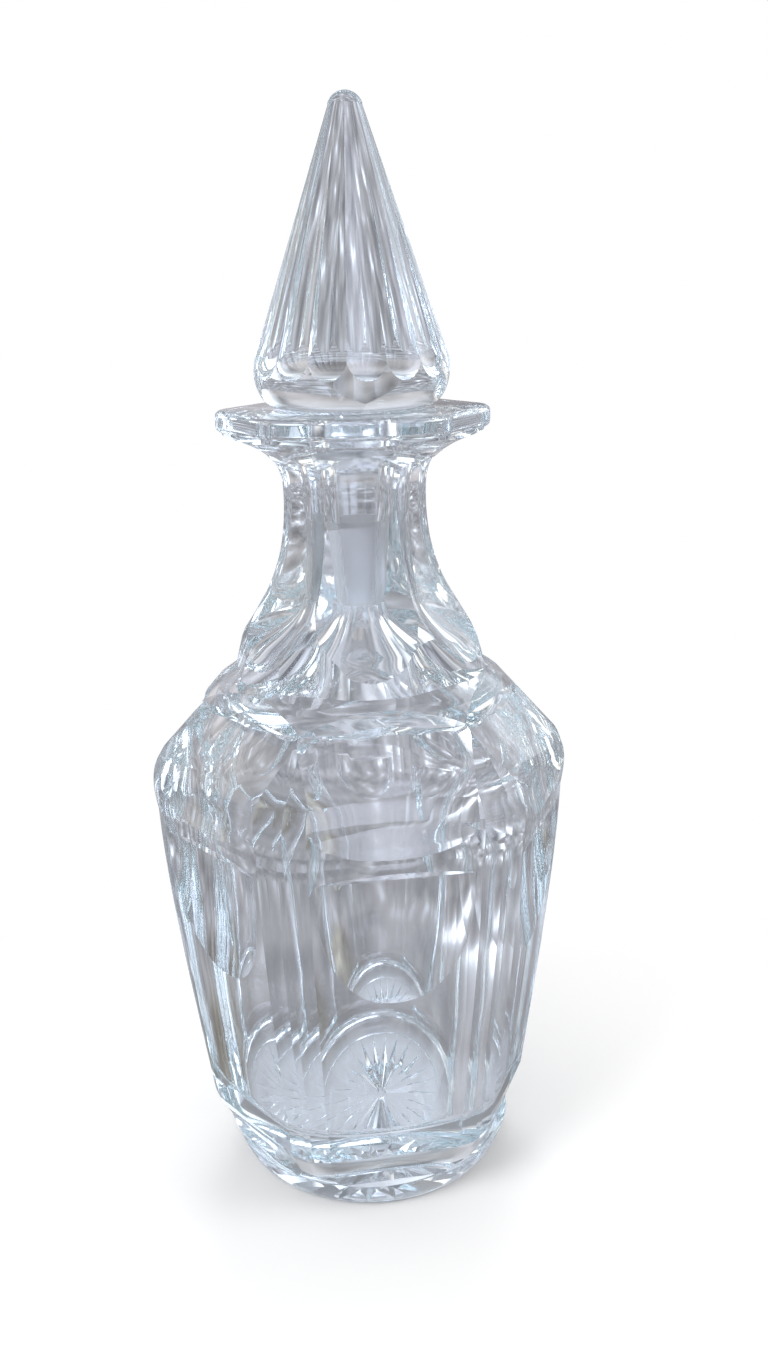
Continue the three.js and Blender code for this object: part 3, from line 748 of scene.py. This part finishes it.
def flatPanel(name, size, place, target, strength):
    lamp = bpy.data.lights.new(name, "AREA")
    lamp.shape, lamp.size, lamp.size_y, lamp.energy = "RECTANGLE", size[0], size[1], strength
    thing = bpy.data.objects.new(name, lamp)
    thing.location = place
    thing.rotation_euler = (Vector(target) - Vector(place)).to_track_quat("-Z", "Y").to_euler()
    thing.visible_glossy = thing.visible_transmission = False
    bpy.context.scene.collection.objects.link(thing)
    return thing


def colourRamp(add, link, value, colours):
    ramp = add("ShaderNodeValToRGB")
    while len(ramp.color_ramp.elements) < len(colours):
        ramp.color_ramp.elements.new(0.5)
    for element, (at, colour) in zip(ramp.color_ramp.elements, colours):
        element.position, element.color = at, (*colour, 1)
    link(value, ramp.inputs[0])
    return ramp.outputs[0]


def mixedColour(add, link, share, first, second, blend="MIX", clamped=False):
    node = add("ShaderNodeMix")
    node.data_type, node.blend_type, node.clamp_result = "RGBA", blend, clamped
    for socket, value in ((node.inputs[0], share), (node.inputs[6], first), (node.inputs[7], second)):
        if isinstance(value, tuple):
            socket.default_value = (*value, 1)
        elif isinstance(value, (int, float)):
            socket.default_value = value
        else:
            link(value, socket)
    return node.outputs[2]


def mixedShader(add, link, share, first, second):
    node = add("ShaderNodeMixShader")
    for value, socket in zip((share, first, second), node.inputs):
        link(value, socket)
    return node.outputs[0]


def throughGlass(add, link):
    # the camera's rays, and 1 for each ray that the glass sends on
    rays = add("ShaderNodeLightPath").outputs
    sentOn = mathNode(add, link, "MAXIMUM", rays["Is Glossy Ray"], rays["Is Transmission Ray"])
    return rays["Is Camera Ray"], sentOn


def buildFloor():
    bpy.ops.mesh.primitive_plane_add(size=8, location=(0, 0, -0.0001))
    floor = bpy.context.object
    floor.name = "floor"
    material = bpy.data.materials.new("paleFloor")
    material.use_nodes = True
    tree = material.node_tree
    tree.nodes.remove(tree.nodes["Principled BSDF"])
    add, link = tree.nodes.new, tree.links.new
    paint, white, seen = add("ShaderNodeBsdfDiffuse"), add("ShaderNodeEmission"), add("ShaderNodeEmission")
    paint.inputs["Color"].default_value = (*studio["floorColour"], 1)
    place = add("ShaderNodeTexCoord").outputs["Object"]

    def fromPoint(point):
        gap = add("ShaderNodeVectorMath")
        gap.operation = "DISTANCE"
        gap.inputs[1].default_value = point
        link(place, gap.inputs[0])
        return gap.outputs["Value"]

    fromAxis = fromPoint((0, 0, 0))
    # the floor as the glass sees it: tabletop tones, with painted glowing light at the noise's top values
    tableAndGlow = colourRamp(add, link, noise(add, link, place, studio["tableAndGlowNoise"]), studio["tableAndGlowColours"])
    glowColour, *glowEnds = studio["footGlow"]
    outside = mapRange(add, link, fromAxis, *glowEnds, smooth=True)
    tableAndGlow = mixedColour(add, link, outside, glowColour, tableAndGlow)
    # painted shade, multiplied into what the glass sees of the floor
    middle, near, away, shadeColour = studio["tableShade"]
    inShade = mapRange(add, link, fromPoint(middle), near, away, 1, 0, smooth=True)
    link(mixedColour(add, link, inShade, tableAndGlow, shadeColour, "MULTIPLY"), seen.inputs["Color"])
    byCamera, byGlass = throughGlass(add, link)
    far = mapRange(add, link, fromAxis, *studio["floorEnd"], smooth=True)
    farByCamera = mathNode(add, link, "MULTIPLY", far, byCamera)
    plain = mixedShader(add, link, farByCamera, paint.outputs[0], white.outputs[0])
    link(mixedShader(add, link, byGlass, plain, seen.outputs[0]), tree.nodes["Material Output"].inputs[0])
    floor.data.materials.append(material)


def softPatch(add, link, way, centre, wide, soft):
    # 1 towards a direction, 0 away from it
    dot = add("ShaderNodeVectorMath")
    dot.operation = "DOT_PRODUCT"
    dot.inputs[1].default_value = Vector(centre).normalized()
    link(way, dot.inputs[0])
    edges = [math.cos(math.radians(max(0, angle))) for angle in (wide + soft, wide - soft)]
    return mapRange(add, link, dot.outputs["Value"], *edges, smooth=True)


def buildWorld():
    world = bpy.data.worlds.new("softRoom")
    bpy.context.scene.world = world
    world.use_nodes = True
    tree = world.node_tree
    add, link = tree.nodes.new, tree.links.new
    out, plain = tree.nodes["World Output"], tree.nodes["Background"]
    plain.inputs["Color"].default_value = (1, 1, 1, 1)
    plain.inputs["Strength"].default_value = studio["plainLight"]
    white, room = add("ShaderNodeBackground"), add("ShaderNodeBackground")
    white.inputs["Color"].default_value = (1, 1, 1, 1)
    way, split = add("ShaderNodeTexCoord").outputs["Generated"], add("ShaderNodeSeparateXYZ")
    link(way, split.inputs[0])
    colour = colourRamp(add, link, mapRange(add, link, split.outputs["Z"], -1, 1), studio["roomColours"])
    size, *patches = studio["roomNoise"]
    patch = mapRange(add, link, noise(add, link, way, size), *patches)
    colour = mixedColour(add, link, 1, colour, patch, "MULTIPLY")
    for centre, wide, soft, light in studio["windows"]:
        colour = mixedColour(add, link, softPatch(add, link, way, centre, wide, soft), colour, light, "ADD")
    link(colour, room.inputs["Color"])
    byCamera, byGlass = throughGlass(add, link)
    lit = mixedShader(add, link, byGlass, plain.outputs[0], room.outputs[0])
    link(mixedShader(add, link, byCamera, lit, white.outputs[0]), out.inputs["Surface"])


def placeCamera():
    camera = bpy.data.objects.new("camera", bpy.data.cameras.new("camera"))
    bpy.context.scene.collection.objects.link(camera)
    height, down = cameraLook["sensorHeight"], math.radians(cameraLook["downward"])
    camera.data.sensor_fit, camera.data.sensor_height = "VERTICAL", height
    camera.data.lens = height * cameraLook["focalShare"]
    view = (Vector(cameraLook["heading"]) * math.cos(down) + Vector((0, 0, -math.sin(down)))).normalized()
    roll = Matrix.Rotation(math.radians(cameraLook["roll"]), 4, "Z")
    turn = view.to_track_quat("-Z", "Y").to_matrix().to_4x4() @ roll
    camera.matrix_world = Matrix.Translation(cameraLook["place"]) @ turn
    bpy.context.scene.camera = camera


buildFloor()
buildWorld()
placeCamera()
for lamp in studio["lamps"]:
    flatPanel(*lamp)
bpy.context.scene.view_settings.view_transform = "Standard"
for bounces in ("max_bounces", "glossy_bounces", "transmission_bounces"):
    setattr(bpy.context.scene.cycles, bounces, studio["bounces"])
print("studio done")
